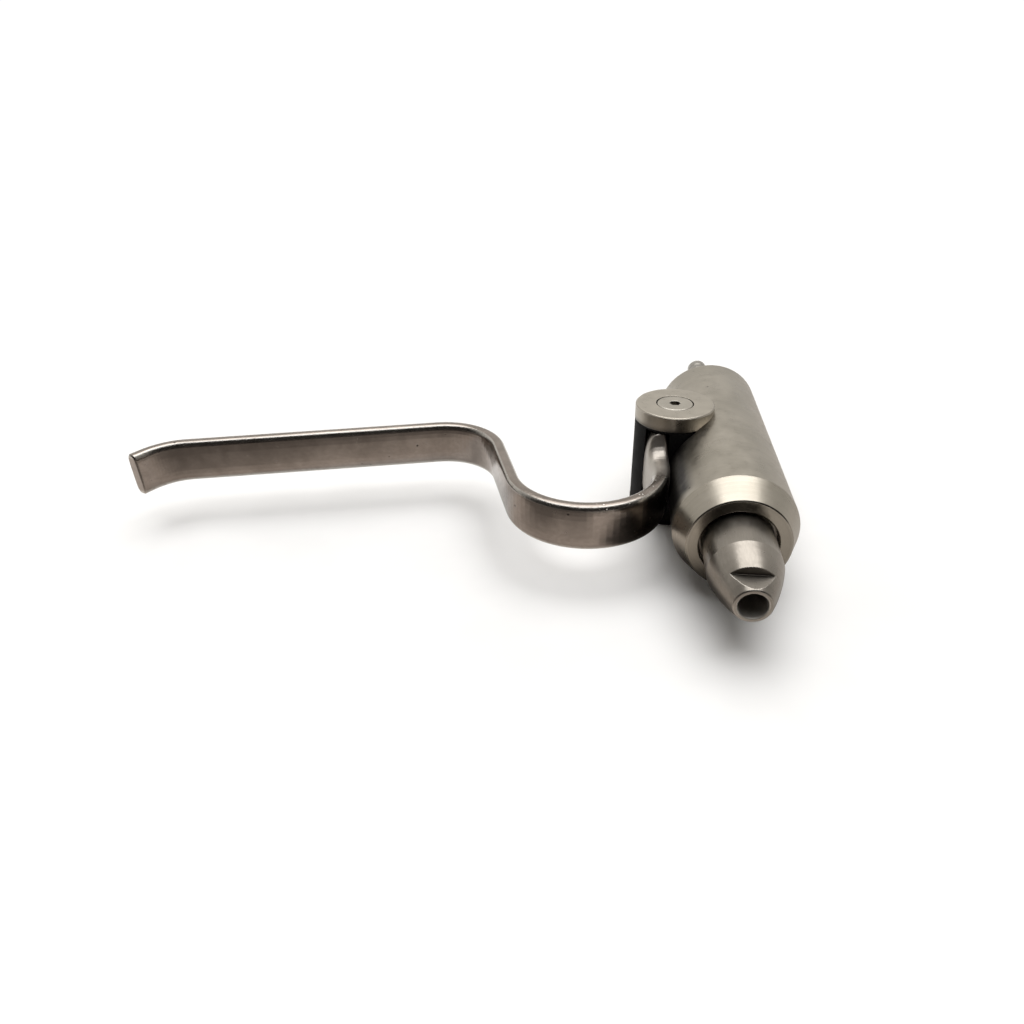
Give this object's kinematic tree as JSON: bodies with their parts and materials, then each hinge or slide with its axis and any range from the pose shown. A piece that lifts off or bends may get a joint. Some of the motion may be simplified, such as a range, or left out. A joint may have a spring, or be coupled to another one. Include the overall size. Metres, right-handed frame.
{
  "type": "fuel nozzle",
  "caption": "Hand fuel nozzle: a straight steel barrel with a coned outlet, and a side lever with a finger loop that slides a spring-returned valve stem.",
  "frame": {"origin": "centre of the outlet bore at the nozzle tip's end face", "axes": "+Y runs back along the barrel's axis, +Z is along the lever's pivot, and the lever reaches out to -X"},
  "size_m": [0.1939, 0.1505, 0.0356],
  "materials": {
    "barrel_steel": "turned, satin",
    "screw_steel": "satin",
    "bronze": "sintered, oiled",
    "hub_black": "matt black acetal",
    "lever_steel": "satin, tumbled",
    "hard_steel": "hardened, ground",
    "stem_steel": "ground",
    "black_screw": "black oxide",
    "spring_steel": "drawn wire",
    "tip_steel": "turned, satin",
    "seal_rubber": "matt",
    "guide_brass": "turned",
    "plug_steel": "turned, satin"
  },
  "bodies": {
    "barrel": {"barrel": "barrel_steel", "upper_ear": "barrel_steel", "lower_ear": "barrel_steel", "pivot_screw": "screw_steel", "upper_thrust_washer": "hub_black", "lower_thrust_washer": "hub_black", "nozzle_tip": "tip_steel", "tip_o_ring": "seal_rubber", "guide_gasket": "seal_rubber", "front_guide": "guide_brass", "stem_o_rings": "seal_rubber", "spring_seat": "hard_steel", "return_spring": "spring_steel", "rear_guide": "bronze", "rear_plug": "plug_steel", "plug_o_ring": "seal_rubber", "plug_lock_screw": "black_screw", "tail_o_ring": "seal_rubber", "inlet_tail": "plug_steel", "tail_gasket": "seal_rubber"},
    "lever": {"lever_hub": "hub_black", "lever_strap": "lever_steel", "strap_dowels": "hard_steel", "push_fork": "hard_steel", "fork_screws": "screw_steel", "pivot_bush": "bronze"},
    "stem": {"valve_stem": "stem_steel", "thrust_collar": "hard_steel", "collar_screws": "black_screw"}
  },
  "joints": [
    {"name": "lever_pivot", "type": "hinge", "parent": "barrel", "child": "lever", "pos_m": [-0.01445, 0.07205, 0], "axis": [0, 0, -1], "range_deg": [0, 20]},
    {"name": "stem_slide", "type": "slide", "parent": "barrel", "child": "stem", "axis": [0, -1, 0], "range_m": [0, 0.00508], "stiffness_N_per_m": 740, "springref_m": -0.0075, "deforming": ["return_spring"]}
  ],
  "couplings": [
    {"joint": "stem_slide", "follows": "lever_pivot", "m_per_rad": 0.01445}
  ]
}
